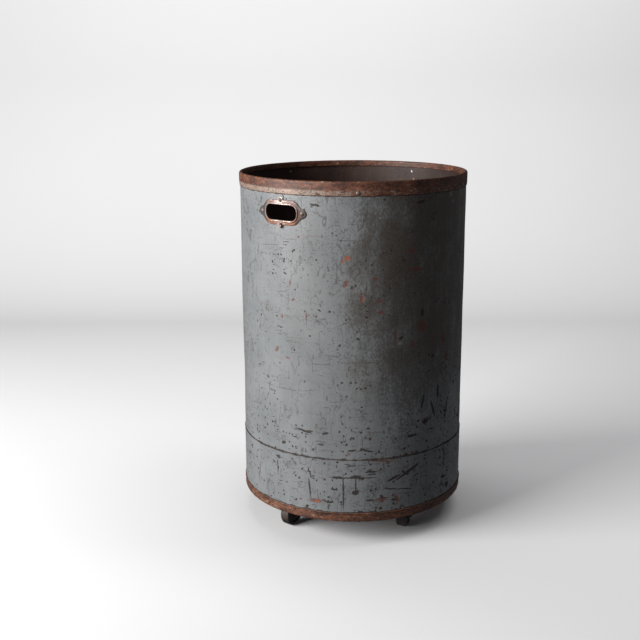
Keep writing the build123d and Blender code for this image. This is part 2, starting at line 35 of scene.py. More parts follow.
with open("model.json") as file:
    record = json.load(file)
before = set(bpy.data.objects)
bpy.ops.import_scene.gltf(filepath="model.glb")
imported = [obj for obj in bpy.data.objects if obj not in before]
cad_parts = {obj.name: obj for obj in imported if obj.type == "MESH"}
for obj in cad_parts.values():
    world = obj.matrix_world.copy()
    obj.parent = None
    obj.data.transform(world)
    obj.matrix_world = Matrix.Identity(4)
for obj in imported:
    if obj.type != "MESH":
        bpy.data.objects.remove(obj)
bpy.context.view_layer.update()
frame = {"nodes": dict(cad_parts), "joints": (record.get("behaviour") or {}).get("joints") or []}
NODES = frame["nodes"]
JOINTS = {joint["name"]: joint for joint in frame["joints"]}


def node_radius(name):
    """Outside radius of a round node."""
    low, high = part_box(name)
    return (high.x - low.x) / 2


def node_heights(name):
    low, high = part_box(name)
    return low.z, high.z


# ---------------------------------------------------------------- sizes read from the frame
RIM_R = node_radius("top_rim")
SHELL_R = node_radius("shell")
RIM_FOOT, CREST = node_heights("top_rim")
SHELL_FOOT, SHELL_HEAD = node_heights("shell")
BAND_TOP = node_heights("kick_band")[1]
CHIME_FOOT, CHIME_TOP = node_heights("bottom_rim")
HOLE_Z = sum(node_heights("front_handhole_plate")) / 2
RIM_RIVET_Z = sum(node_heights("rim_rivets")) / 2
PAN_FLOOR = node_heights("bottom_pan")[1]
CASTERS = ("front", "right", "rear", "left")
MM = 0.001
SHARP_FROM = 38               # edges that fold by more degrees than this are shaded sharp

# ---------------------------------------------------------------- sheet sizes, as in the design
SHELL_SHEET = 1.2 * MM
BAND_SHEET = 0.8 * MM
CHIME_SHEET = 1.2 * MM
RIM_SHEET = 2.0 * MM
BAND_R = SHELL_R + BAND_SHEET
CHIME_R = BAND_R + CHIME_SHEET
PLATE_SHEET = 1.5 * MM
SHELL_SEAM = -90.0            # azimuth of the outer edge of the shell's lap
SHELL_LAP = 20 * MM
SHELL_RAMP = 18 * MM
BAND_SEAM = -118.0
BAND_LAP = 16 * MM
BAND_RAMP = 10 * MM
RIM_JOINT = -100.0            # azimuth where the two ends of the top rim meet
CHIME_JOINT = -75.0
JOINT_GAP = 0.8 * MM
EMPTY_HOLE_AZIMUTH = 181.6
EMPTY_HOLE_R = 2.7 * MM
OPENING = (73 * MM, 29 * MM)  # handhole
OPENING_CORNER = 12.5 * MM
FLANGE = 8.5 * MM
SIDE_EAR_R = 9 * MM
SIDE_EAR_ROOT = (31 * MM, 21 * MM)      # where it leaves the flange, and half its width there
UPRIGHT_EAR_R = 6 * MM
UPRIGHT_EAR_ROOT = (18 * MM, 10 * MM)
PLATE_LOW, PLATE_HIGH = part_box("front_handhole_plate")
SIDE_EAR_REACH = (PLATE_HIGH.x - PLATE_LOW.x) / 2 - SIDE_EAR_R
UPRIGHT_EAR_REACH = (PLATE_HIGH.z - PLATE_LOW.z) / 2 - UPRIGHT_EAR_R

# ---------------------------------------------------------------- camera
FACING = 37.5                 # azimuth that the camera looks from
CAMERA_SIDE = -0.0496         # sideways from that azimuth
CAMERA_BACK = 2.0636
CAMERA_HEIGHT = 0.908
CAMERA_PITCH = 13.78          # down from level
CAMERA_TURN = 0.51
CAMERA_ROLL = -0.27
CAMERA_LENS = 57.0


def turn(degrees, axis="Z"):
    return Matrix.Rotation(math.radians(degrees), 4, axis)


def add_camera():
    data = bpy.data.cameras.new("camera")
    data.lens = CAMERA_LENS
    data.sensor_width = 36.0
    camera = bpy.data.objects.new("camera", data)
    place = Matrix.Translation((CAMERA_SIDE, -CAMERA_BACK, CAMERA_HEIGHT))
    aim = turn(CAMERA_TURN) @ turn(90 - CAMERA_PITCH, "X") @ turn(CAMERA_ROLL)
    camera.matrix_world = turn(FACING) @ place @ aim
    bpy.context.scene.collection.objects.link(camera)
    bpy.context.scene.camera = camera


# ---------------------------------------------------------------- studio
def studio_point(azimuth, distance, height):
    """A point at an azimuth from the camera's facing, measured from the drum's axis."""
    angle = math.radians(FACING + azimuth)
    return Vector((distance * math.sin(angle), -distance * math.cos(angle), height))


def add_area_light(name, spot, aim, size, power, colour):
    """A soft rectangular light at one studio point, aimed at another."""
    data = bpy.data.lights.new(name, "AREA")
    data.shape = "RECTANGLE"
    data.size, data.size_y = size
    data.energy = power
    data.color = colour
    light = bpy.data.objects.new(name, data)
    light.location = spot
    light.rotation_euler = (aim - spot).to_track_quat("-Z", "Y").to_euler()
    bpy.context.scene.collection.objects.link(light)
    return light


def add_lights(paper):
    """A large soft key from the left, a light for the paper alone, and faint fill."""
    middle = Vector((0, 0, 0.4))
    left = studio_point(-63, 3.0, 1.4)
    add_area_light("key_light", left, middle, (2.1, 1.9), 192, (1.0, 0.995, 0.985))
    above, wall = studio_point(115, 0.6, 2.6), studio_point(152, 2.6, 0.6)
    backdrop = add_area_light("backdrop_light", above, wall, (2.8, 1.0), 52, (1.0, 1.0, 1.0))
    lit = bpy.data.collections.new("paper_only")
    lit.objects.link(paper)
    backdrop.light_linking.receiver_collection = lit
    world = bpy.data.worlds.new("studio")
    world.use_nodes = True
    background = world.node_tree.nodes["Background"]
    background.inputs["Color"].default_value = (0.92, 0.95, 1.0, 1.0)
    background.inputs["Strength"].default_value = 0.125
    bpy.context.scene.world = world
    bpy.context.scene.view_settings.view_transform = "Standard"


def add_paper():
    """A pale floor that curves up into a backdrop behind the drum."""
    reach, bend, rise, count = 5.0, 0.9, 3.0, 16
    bend_start = 1.6
    profile = [(-reach, 0.0), (bend_start, 0.0)]
    for i in range(1, count + 1):
        angle = math.pi / 2 * i / count
        profile.append((bend_start + bend * math.sin(angle), bend * (1 - math.cos(angle))))
    profile.append((bend_start + bend, bend + rise))
    mesh = bpy.data.meshes.new("studio_paper")
    points = [(x, y, z) for y, z in profile for x in (-reach, reach)]
    faces = [(2 * i, 2 * i + 1, 2 * i + 3, 2 * i + 2) for i in range(len(profile) - 1)]
    mesh.from_pydata(points, [], faces)
    mesh.shade_smooth()
    paper = bpy.data.objects.new("studio_paper", mesh)
    paper.matrix_world = turn(FACING)
    bpy.context.scene.collection.objects.link(paper)
    paper.visible_diffuse = False
    paper.visible_glossy = False
    s = Shader("studio_paper")
    shade = s.mix(s.noise(s.place(), 1.5, 3), (0.73, 0.725, 0.73), (0.76, 0.755, 0.76))
    mesh.materials.append(s.finish(shade, 0.75, specular=0.2))
    return paper


# ---------------------------------------------------------------- material building
class Shader:
    """A material under construction. Each method adds nodes and gives back an output socket."""

    def __init__(self, name):
        self.material = bpy.data.materials.new(name)
        self.material.use_nodes = True
        self.tree = self.material.node_tree
        self.tree.nodes.clear()

    def add(self, kind, values=None, **settings):
        made = self.tree.nodes.new(kind)
        for key, value in settings.items():
            setattr(made, key, value)
        for key, value in (values or {}).items():
            self.feed(made.inputs[key], value)
        return made

    def feed(self, socket, value):
        if isinstance(value, bpy.types.NodeSocket):
            self.tree.links.new(value, socket)
        elif isinstance(value, tuple) and len(value) == 3 and socket.type == "RGBA":
            socket.default_value = (*value, 1.0)
        else:
            socket.default_value = value

    def math(self, operation, a, b=0.0, c=0.0):
        return self.add("ShaderNodeMath", {0: a, 1: b, 2: c}, operation=operation).outputs[0]

    def vector_math(self, operation, a, b=(0.0, 0.0, 0.0)):
        return self.add("ShaderNodeVectorMath", {0: a, 1: b}, operation=operation).outputs[0]

    def mix(self, factor, a, b):
        made = self.add("ShaderNodeMix", data_type="RGBA")
        for socket, value in zip([made.inputs[i] for i in (0, 6, 7)], (factor, a, b)):
            self.feed(socket, value)
        return made.outputs[2]

    def range(self, value, low, high, start=0.0, end=1.0):
        """Value carried from low..high to start..end, held at both ends, with soft shoulders."""
        values = {0: value, 1: low, 2: high, 3: start, 4: end}
        return self.add("ShaderNodeMapRange", values, interpolation_type="SMOOTHSTEP").outputs[0]

    def times(self, *factors):
        product = factors[0]
        for factor in factors[1:]:
            product = self.math("MULTIPLY", product, factor)
        return product

    def most(self, *values):
        largest = values[0]
        for value in values[1:]:
            largest = self.math("MAXIMUM", largest, value)
        return largest

    def place(self):
        return self.add("ShaderNodeTexCoord").outputs["Object"]

    def stretch(self, vector, scale):
        """The vector scaled, so that what it drives is drawn out along one axis."""
        return self.add("ShaderNodeMapping", {0: vector, 3: scale}).outputs[0]

    def noise(self, vector, scale, detail=4.0, roughness=0.55, distortion=0.0):
        values = {
            "Vector": vector,
            "Scale": scale,
            "Detail": detail,
            "Roughness": roughness,
            "Distortion": distortion,
        }
        return self.add("ShaderNodeTexNoise", values).outputs[0]

    def shaken(self, vector, reach, scale):
        """The vector thrown off by up to about a reach, so that edges drawn with it are ragged."""
        values = {"Vector": vector, "Scale": scale, "Detail": 3.0}
        colour = self.add("ShaderNodeTexNoise", values).outputs["Color"]
        offset = self.vector_math("SUBTRACT", colour, (0.5, 0.5, 0.5))
        return self.vector_math("ADD", vector, self.vector_math("MULTIPLY", offset, (2 * reach,) * 3))

    def flecks(self, vector, scale, size, share):
        """Scattered flecks: one in a share of the cells, up to a size measured in cells."""
        cell = self.add("ShaderNodeTexVoronoi", {"Vector": vector, "Scale": scale})
        luck = self.range(self.split(cell.outputs["Color"])[0], 1 - share, 1.0)
        beyond = self.math("SUBTRACT", cell.outputs["Distance"], self.math("MULTIPLY", luck, size))
        return self.range(beyond, 0.0, -0.05)

    def threads(self, vector, scale, width, share):
        """Fine wandering lines, kept in only a share of the places."""
        line = self.math("ABSOLUTE", self.math("SUBTRACT", self.noise(vector, scale, 2), 0.5))
        kept = self.range(self.noise(vector, scale * 0.7, 3), 0.72 - share, 0.80 - share)
        return self.times(self.range(line, width, 0.0), kept)

    def split(self, vector):
        return self.add("ShaderNodeSeparateXYZ", {0: vector}).outputs

    def join(self, x, y, z):
        return self.add("ShaderNodeCombineXYZ", {0: x, 1: y, 2: z}).outputs[0]

    def unrolled(self, place):
        """The drum's wall laid flat: arc length from azimuth 0, then height."""
        x, y, z = self.split(place)
        azimuth = self.math("ARCTAN2", x, self.math("MULTIPLY", y, -1.0))
        return self.join(self.math("MULTIPLY", azimuth, SHELL_R), z, 0.0)

    def marks(self, flat, table):
        """Distance from the closest of some marks: 0 at its middle, 1 at its outline, at most 2.
        A mark is an azimuth, a height, a length, a width in millimetres and a tilt in degrees."""
        closest = 0.0
        for azimuth, height, length, width, tilt in table:
            ball = self.add("ShaderNodeTexGradient", {"Vector": flat}, gradient_type="SPHERICAL")
            spot = ball.texture_mapping
            spot.vector_type = "TEXTURE"
            spot.translation = (math.radians(azimuth) * SHELL_R, height * MM, 0.0)
            spot.rotation = (0.0, 0.0, math.radians(tilt))
            spot.scale = (length * MM, width * MM, 1.0)
            closest = self.math("MAXIMUM", closest, ball.outputs["Fac"])
        return self.math("MULTIPLY_ADD", closest, -2.0, 2.0)

    def finish(self, colour, roughness, metallic=0.0, height=None, depth=0.001, specular=0.5):
        """Close the material with one Principled shader, with a bump if a height is given."""
        values = {"Base Color": colour, "Roughness": roughness, "Metallic": metallic}
        values["Specular IOR Level"] = specular
        shader = self.add("ShaderNodeBsdfPrincipled", values)
        if height is not None:
            bump = self.add("ShaderNodeBump", {"Height": height, "Distance": depth, "Strength": 1.0})
            self.tree.links.new(bump.outputs[0], shader.inputs["Normal"])
        output = self.add("ShaderNodeOutputMaterial")
        self.tree.links.new(shader.outputs[0], output.inputs[0])
        return self.material


# ---------------------------------------------------------------- paint and its wear
# Each mark is azimuth, height, length, width, tilt, in degrees and millimetres: the wear that the photo shows
# on the front, and painted shade along its creases, placed where it shows it.
SCRATCHES = [
    (36, 142, 74, 2.4, 0), (29, 142, 18, 4.5, 0), (38, 144, 18, 5.5, 3), (32, 113, 60, 2.6, 91),
    (15, 147, 18, 2.6, -69), (16.5, 140, 10, 2.2, 20), (15, 114, 34, 2.8, -84), (45.5, 154, 20, 3.4, -3),
    (46, 149, 14, 2.2, 4), (57, 137, 24, 4.5, 24), (65, 146, 48, 4.6, 27), (63, 144, 14, 4.0, -40),
    (56, 115, 24, 2.4, -8), (63, 111, 26, 2.2, -10), (90, 109, 18, 4.4, -5), (90, 155, 38, 2.2, -88),
    (94, 86, 12, 8.0, 30), (38, 112, 12, 8.0, 20), (38, 126, 26, 2.2, 88), (27.5, 117, 12, 3.4, 0),
    (45, 95, 13, 3.4, -6), (25, 90, 14, 3.6, 0), (12, 231, 30, 3.2, -10), (15, 232, 13, 2.4, 3),
    (23, 231, 11, 3.6, 5), (44, 197, 18, 3.4, -16), (36, 198, 14, 2.8, 4), (67, 219, 20, 4.2, 3),
    (-28, 160, 10, 2.2, 30), (-22, 143, 9, 1.8, -10), (-19, 118, 30, 2.0, 80), (-4, 144, 24, 2.2, 92),
    (83.5, 296, 22, 4.6, -88), (73, 283, 24, 4.0, -100), (80, 264, 30, 4.6, -70), (91, 252, 30, 5.0, -103),
    (75, 242, 14, 7.5, 10), (18.5, 671, 17, 3.2, -8), (1.8, 681, 11, 2.2, -70), (69.5, 673, 17, 4.0, 9),
    (110, 217, 18, 5.0, 20), (102, 236, 14, 4.0, -60),
]
# Scratches, and the creases in the sheet, as dark lines: along the creases the dark colour is painted shade.
SCRATCH_AND_CREASE_SHADE_LINES = [
    (-10, 311, 38, 2.4, -3), (2, 310, 66, 2.6, 0), (15, 314, 40, 2.4, 11), (-14, 233, 42, 2.6, -38),
    (32, 449, 36, 2.4, 26), (46, 589, 17, 2.6, -50), (49.5, 578, 20, 2.6, -33), (19, 656, 30, 2.2, -23),
    (43, 650, 74, 1.8, -89), (-6, 590, 88, 2.0, 6), (35, 607, 82, 2.0, -1), (20, 368, 64, 2.6, 1),
    (43, 374, 60, 3.0, -1), (4, 490, 27, 2.0, -91), (0, 502, 32, 2.2, 5), (14, 455, 44, 2.0, 90),
    (8, 386, 30, 2.0, 3), (26, 387, 40, 2.0, -2), (5, 604, 46, 1.8, 4), (66, 560, 90, 3.0, 88),
]
RED_SPOTS = [
    (18, 90, 34, 9, 4), (51, 95, 25, 11, -6), (58.5, 94, 26, 9, -60), (10, 88, 8, 5, 0),
    (51, 175, 50, 4.5, -6), (0.3, 454, 11, 5, 90), (13.8, 459, 17, 3.4, -90), (5, 521, 14, 3, -91),
    (40.3, 500, 21, 6, -92), (49, 492, 14, 7, 20), (49.5, 471, 12, 8, 0), (57, 423, 36, 5, -89),
    (66.3, 404, 20, 6, -89), (72, 434, 30, 20, 90), (87, 402, 24, 12, 90), (90, 364, 22, 14, 90),
    (65, 583, 16, 12, 0), (67.6, 548, 34, 9, -6), (75, 241, 22, 9, -80), (10, 610, 5, 4, 0),
    (2.8, 592, 5, 4, 0), (-3.5, 387, 14, 8, 60), (33, 526, 18, 9, 70), (3, 373, 13, 3, 0),
    (47, 535, 10, 7, 0), (88, 95, 14, 8, 60), (6.7, 489, 7, 5, 40),
]
ORANGE_SPOTS = [(33.5, 574, 13, 9, 0), (31.5, 568, 6, 5, 0), (41, 497, 7, 5, 90), (19, 89, 12, 5, 0)]
DARK_DOTS = [
    (-5.4, 542, 5, 4, 0), (2.5, 538, 5, 5, 0), (6.7, 581, 5, 5, 0), (19, 569, 5, 5, 0), (8, 509, 5, 5, 0),
    (-10.4, 470, 4, 4, 0), (20.4, 474, 9, 5, -30), (25.4, 472, 6, 5, 0), (19, 462, 5, 5, 0),
    (-3.2, 453, 6, 5, 0), (-0.7, 432, 6, 4, 0), (15.6, 422, 5, 5, 0), (30.2, 407, 6, 6, 0),
    (38.8, 421, 7, 6, 0), (7, 391, 6, 6, 0), (-19, 431, 8, 3, 90), (12.5, 331, 5, 5, 0), (-16, 297, 7, 4, 90),
    (30, 236, 6, 6, 0), (32, 228, 5, 5, 0), (36, 241, 5, 4, 0), (44, 243, 8, 6, 0), (45, 221, 6, 6, 0),
    (72, 462, 20, 11, 90), (60, 418, 13, 8, 30), (79, 372, 9, 7, 0), (99, 300, 12, 8, 90),
]
LIGHT_SPOTS = [(59.4, 408, 12, 6, 10), (48.8, 648, 5, 4, 0), (91, 681, 10, 7, 40), (93.5, 667, 9, 6, 0)]

PAINT = (0.165, 0.173, 0.180)
PAINT_PALE = (0.212, 0.219, 0.222)
PAINT_STAINED = (0.040, 0.028, 0.021)
PRIMER_RED = (0.115, 0.030, 0.020)
ORANGE_RUST = (0.270, 0.075, 0.028)
BROWN_RUST = (0.085, 0.036, 0.021)
DARK_RUST = (0.020, 0.012, 0.009)


def stained_part(s, flat, place):
    """How brown the paint has turned: most on the side facing +X, above knee height, in streaks."""
    arc, height, _ = s.split(flat)
    ragged_arc = s.math("ADD", arc, s.range(s.noise(place, 14, 4), 0.3, 0.7, -0.05, 0.05))
    side = s.times(s.range(ragged_arc, 0.12, 0.25), s.range(arc, 0.62, 0.46))
    tall = s.range(s.math("ADD", height, s.times(s.noise(place, 18, 4), 0.16)), 0.32, 0.50)
    streaks = s.noise(s.stretch(place, (1, 1, 0.16)), 42, 4)
    patches = s.noise(place, 22, 5, 0.65)
    broken = s.range(s.math("ADD", streaks, patches), 0.80, 1.10, 0.50, 1.0)
    elsewhere = s.times(s.range(s.noise(s.stretch(place, (1, 1, 0.35)), 5, 4), 0.53, 0.72), 0.30)
    return s.most(s.times(side, tall, broken), elsewhere)


def grime(s, flat, place):
    """Fine brown mottling that thickens towards the stained side and thins out low on the drum."""
    arc, height, _ = s.split(flat)
    fine = s.noise(s.stretch(place, (1, 1, 0.6)), 230, 6, 0.85)
    coarse = s.noise(s.stretch(place, (1, 1, 0.5)), 26, 4, 0.6)
    spread = s.math("ADD", s.range(arc, 0.06, 0.24, -0.04, 0.075), s.range(height, 0.20, 0.42, -0.05, 0.015))
    amount = s.math("ADD", s.math("ADD", s.times(fine, 0.74), s.times(coarse, 0.26)), spread)
    return s.range(amount, 0.512, 0.60)


def around_handholes(s, flat):
    """Distance beyond the edge of either handhole's flange, in metres."""
    arc, height, _ = s.split(flat)
    half_turn = math.pi * SHELL_R
    folded = s.math("PINGPONG", arc, half_turn)
    across = s.math("MINIMUM", folded, s.math("SUBTRACT", half_turn, folded))
    up = s.math("ABSOLUTE", s.math("SUBTRACT", height, HOLE_Z))
    corner = (OPENING[0] / 2 - OPENING_CORNER, OPENING[1] / 2 - OPENING_CORNER, 0.0)
    past = s.vector_math("MAXIMUM", s.vector_math("SUBTRACT", s.join(across, up, 0.0), corner))
    length = s.add("ShaderNodeVectorMath", {0: past}, operation="LENGTH").outputs["Value"]
    return s.math("SUBTRACT", length, OPENING_CORNER + FLANGE)


def chipped_part(s, flat, place):
    """Bare dark chips: fine pits all over, larger flakes in clusters, the placed scratches and dots."""
    arc, height, _ = s.split(flat)
    rough = s.shaken(flat, 2.4 * MM, 260)
    low_down = s.range(height, 0.30, 0.20)
    corner = s.times(s.range(arc, 0.25, 0.34), s.range(arc, 0.60, 0.48), s.range(height, 0.44, 0.32))
    crowd = s.range(s.noise(place, 15, 3), 0.46, 0.66)
    crowded = s.math("ADD", s.times(crowd, 0.55), s.times(s.most(low_down, corner), 0.45))
    pits = s.flecks(s.shaken(place, 1.6 * MM, 380), 135, 0.36, 0.55)
    flakes = s.flecks(s.shaken(s.stretch(place, (0.8, 0.8, 1.1)), 6 * MM, 230), 92, 0.42, 0.22)
    hairs = s.range(s.noise(s.stretch(place, (1, 1, 7)), 40, 3, 0.6, 0.8), 0.64, 0.675)
    random = s.most(
        s.times(pits, s.range(crowded, 0.0, 0.5, 0.20, 1.0)),
        s.times(flakes, s.range(crowded, 0.42, 0.60)),
        s.times(hairs, s.range(crowded, 0.35, 0.55)),
    )
    shaking = s.noise(flat, 330, 3, 0.7)
    ragged = s.math("ADD", s.marks(rough, SCRATCHES), s.times(shaking, 1.1))
    dots = s.math("ADD", s.marks(rough, DARK_DOTS), s.times(shaking, 0.5))
    return s.most(random, s.range(ragged, 1.95, 1.62), s.range(dots, 1.16, 0.84))


def edge_rust_and_shade(s, flat, place):
    """Rust creeping from the sheet edges, with painted shade along them: the top of the kick band, both rims
    and the handholes.
    """
    height = s.split(flat)[1]
    wander = s.noise(place, 70, 4)
    creep = s.range(wander, 0.35, 0.75, 0.2, 1.0)

    def beside(level, reach):
        away = s.math("ABSOLUTE", s.math("SUBTRACT", height, level))
        return s.range(s.math("DIVIDE", away, s.math("MULTIPLY", creep, reach)), 1.0, 0.45)

    handhole = s.math("DIVIDE", around_handholes(s, flat), s.math("MULTIPLY", creep, 3.4 * MM))
    # Each band is rust and painted shade: under the top rim, at the band's top edge, above the bottom rim and
    # round the handhole plates.
    return s.most(
        beside(BAND_TOP, 4.4 * MM),
        beside(CHIME_TOP, 4.5 * MM),
        beside(RIM_FOOT, 3.6 * MM),
        s.times(s.range(handhole, 1.0, 0.3), 0.75),
    )


def grey_paint():
    """The drum's paint: clouded grey under grime, stain, placed marks, random chips, and edge rust with
    painted shade along the rims, the band's top and the handholes.
    """
    s = Shader("worn_grey_paint")
    place = s.place()
    flat = s.unrolled(place)
    rough = s.shaken(flat, 2.5 * MM, 260)
    cloud = s.noise(place, 13, 5, 0.6)
    streaks = s.noise(s.stretch(place, (1, 1, 0.06)), 240, 4)
    grain = s.noise(place, 520, 3)
    smears = s.noise(s.stretch(place, (0.3, 0.3, 2.2)), 34, 5, 0.65)

    tone = s.math("ADD", s.times(cloud, 0.55), s.math("ADD", s.times(streaks, 0.20), s.times(grain, 0.25)))
    colour = s.mix(s.range(tone, 0.41, 0.60), PAINT, PAINT_PALE)
    colour = s.mix(s.times(s.range(smears, 0.56, 0.70), 0.30), colour, (0.125, 0.098, 0.092))
    dirt = grime(s, flat, place)
    colour = s.mix(s.times(dirt, 0.62), colour, (0.055, 0.048, 0.041))
    threads = s.most(
        s.threads(s.stretch(place, (1, 1, 0.4)), 46, 0.024, 0.24),
        s.threads(s.stretch(place, (0.5, 0.5, 1.3)), 60, 0.022, 0.22),
    )
    colour = s.mix(s.times(threads, 0.60), colour, (0.055, 0.047, 0.042))
    stain = stained_part(s, flat, place)
    stain_colour = s.mix(s.range(grain, 0.35, 0.65), PAINT_STAINED, (0.094, 0.076, 0.060))
    colour = s.mix(s.times(stain, 0.88), colour, stain_colour)

    # Dark lines for scratches, and painted shade along the creases of the sheet.
    lines = s.math("ADD", s.marks(rough, SCRATCH_AND_CREASE_SHADE_LINES), s.times(grain, 1.2))
    faint = s.range(lines, 1.75, 1.15)
    colour = s.mix(s.times(faint, 0.5), colour, (0.070, 0.055, 0.050))
    light = s.range(s.marks(rough, LIGHT_SPOTS), 1.1, 0.7)
    colour = s.mix(s.times(light, 0.8), colour, (0.24, 0.20, 0.17))
    red_edge = s.math("ADD", s.marks(rough, RED_SPOTS), s.times(s.noise(place, 300, 4, 0.7), 2.4))
    red = s.range(red_edge, 2.35, 1.75)
    arc = s.split(flat)[0]
    toward_stain = s.range(arc, -0.05, 0.30, 0.10, 1.0)
    red_specks = s.times(s.flecks(s.shaken(place, 3 * MM, 200), 62, 0.26, 0.18), toward_stain, 0.8)
    primer = s.mix(s.range(grain, 0.4, 0.6), PRIMER_RED, (0.125, 0.042, 0.030))
    colour = s.mix(s.times(s.most(red, red_specks), 0.82), colour, primer)
    orange = s.range(s.math("ADD", s.marks(rough, ORANGE_SPOTS), s.times(grain, 0.8)), 1.55, 1.15)
    colour = s.mix(s.times(orange, 0.9), colour, ORANGE_RUST)
    chips = chipped_part(s, flat, place)
    bare = s.mix(s.range(s.noise(place, 160, 3), 0.60, 0.76), DARK_RUST, BROWN_RUST)
    colour = s.mix(s.times(chips, 0.92), colour, bare)
    # Rust and painted shade along the sheet edges, along the rims and round the handholes.
    edge = edge_rust_and_shade(s, flat, place)
    rust_and_shade_colour = s.mix(s.range(grain, 0.50, 0.70), DARK_RUST, BROWN_RUST)
    colour = s.mix(s.times(edge, 0.92), colour, rust_and_shade_colour)

    # Paint gone, or painted shade at the edges: both roughen the paint and lower its bump.
    paint_gone_or_shaded = s.most(chips, red, orange, edge)
    rust_grain = s.times(paint_gone_or_shaded, s.noise(place, 900, 3))
    surface = s.math("ADD", s.times(cloud, 0.7), s.times(dirt, 0.10))
    height = s.math("SUBTRACT", surface, s.times(paint_gone_or_shaded, 0.35))
    height = s.math("ADD", height, s.times(rust_grain, 0.25))
    height = s.math("SUBTRACT", height, s.times(s.most(faint, threads), 0.12))
    gloss = s.range(tone, 0.40, 0.62, 0.46, 0.36)
    roughness = s.most(gloss, s.times(dirt, 0.50), s.times(stain, 0.48), s.times(paint_gone_or_shaded, 0.78))
    return s.finish(colour, roughness, height=height, depth=0.6 * MM)


# ---------------------------------------------------------------- rusted and bare metals
def rim_metal(name, foot, head, pale_low, pale_high, pale_share, deep, mid, bright, pale):
    """Rusted rolled sheet: brown with darker and orange mottling, worn pale along one strip; the strip
    spreads wider on the side toward the key light as painted sheen.
    """
    s = Shader(name)
    place = s.place()
    arc, height, _ = s.split(s.unrolled(place))
    drawn = s.stretch(place, (0.7, 0.7, 1.6))
    blotch = s.noise(drawn, 38, 5, 0.62)
    grain = s.noise(place, 330, 4, 0.65)
    fine = s.noise(place, 1100, 2)
    colour = s.mix(s.range(blotch, 0.36, 0.62), deep, mid)
    colour = s.mix(s.times(s.range(grain, 0.50, 0.70), 0.75), colour, bright)
    colour = s.mix(s.times(s.range(grain, 0.46, 0.34), 0.7), colour, DARK_RUST)
    mottle = s.noise(drawn, 125, 5, 0.75)
    colour = s.mix(s.times(s.range(mottle, 0.50, 0.40), 0.7), colour, DARK_RUST)
    colour = s.mix(s.times(s.range(mottle, 0.60, 0.67), 0.6), colour, pale)
    along = s.times(
        s.range(height, foot + pale_low - 3 * MM, foot + pale_low + 2 * MM),
        s.range(height, foot + pale_high + 3 * MM, foot + pale_high - 2 * MM),
    )
    patchy = s.noise(s.stretch(place, (0.6, 0.6, 1.8)), 90, 6, 0.85)
    # Painted sheen: the pale strip is made commoner on the side that faces the key light.
    painted_sheen_toward_key = s.range(arc, 0.30, -0.05, 0.0, 0.16)
    limit = s.math("SUBTRACT", s.math("ADD", patchy, painted_sheen_toward_key), 1 - pale_share)
    # The pale strip: wear, and painted sheen on the key light's side.
    worn = s.times(along, s.range(limit, 0.0, 0.10), s.range(grain, 0.30, 0.52))
    colour = s.mix(s.times(worn, 0.85), colour, pale)
    top = s.range(height, head - 3.0 * MM, head - 0.5 * MM)
    rubbed = s.times(top, s.range(s.noise(place, 48, 4), 0.42, 0.6))
    colour = s.mix(s.times(rubbed, 0.5), colour, bright)
    height_map = s.math("ADD", s.times(blotch, 0.5), s.math("ADD", s.times(grain, 0.5), s.times(fine, 0.2)))
    bare = s.most(worn, rubbed)
    roughness = s.math("SUBTRACT", s.range(grain, 0.35, 0.65, 0.46, 0.66), s.times(bare, 0.12))
    metallic = s.times(bare, 0.35)
    return s.finish(colour, roughness, metallic, height_map, 0.45 * MM)


def inner_wall():
    """The unpainted inside of the drum: dark rust with paler worn and powdery areas."""
    s = Shader("rusty_inside")
    place = s.place()
    blotch = s.noise(s.stretch(place, (1, 1, 0.7)), 11, 6, 0.65)
    streaks = s.noise(s.stretch(place, (1, 1, 0.12)), 80, 4, 0.6)
    grain = s.noise(place, 420, 4, 0.65)
    colour = s.mix(s.range(blotch, 0.38, 0.60), (0.024, 0.012, 0.009), (0.055, 0.028, 0.020))
    colour = s.mix(s.times(s.range(blotch, 0.56, 0.72), 0.6), colour, (0.13, 0.095, 0.085))
    colour = s.mix(s.times(s.range(streaks, 0.50, 0.66), 0.5), colour, (0.045, 0.022, 0.015))
    colour = s.mix(s.times(s.range(grain, 0.52, 0.68), 0.4), colour, (0.100, 0.040, 0.024))
    colour = s.mix(s.times(s.range(grain, 0.44, 0.34), 0.7), colour, DARK_RUST)
    height = s.math("ADD", s.times(blotch, 0.6), s.times(grain, 0.4))
    return s.finish(colour, s.range(grain, 0.35, 0.65, 0.48, 0.74), 0.0, height, 0.6 * MM)


def pan_steel():
    """The pan: mottled rust, with dust and grit thickest in the corner of its floor."""
    s = Shader("gritty_pan")
    place = s.place()
    x, y, z = s.split(place)
    out = s.add("ShaderNodeVectorMath", {0: s.join(x, y, 0.0)}, operation="LENGTH").outputs["Value"]
    blotch = s.noise(place, 16, 6, 0.62)
    grit = s.flecks(s.shaken(place, 1.5 * MM, 300), 210, 0.42, 0.5)
    grain = s.noise(place, 500, 4, 0.7)
    colour = s.mix(s.range(blotch, 0.38, 0.60), (0.040, 0.022, 0.015), (0.120, 0.058, 0.034))
    colour = s.mix(s.times(s.range(grain, 0.5, 0.68), 0.6), colour, (0.17, 0.085, 0.05))
    corner = s.times(s.range(out, 0.15, 0.225), s.range(z, PAN_FLOOR - 0.5 * MM, PAN_FLOOR))
    dust = s.times(s.range(s.math("ADD", blotch, s.times(corner, 0.25)), 0.50, 0.72), 0.6)
    colour = s.mix(dust, colour, (0.16, 0.13, 0.105))
    colour = s.mix(s.times(grit, 0.6), colour, DARK_RUST)
    height = s.math("ADD", s.times(grain, 0.5), s.times(grit, 0.5))
    return s.finish(colour, s.range(grain, 0.35, 0.65, 0.6, 0.85), 0.0, height, 0.7 * MM)


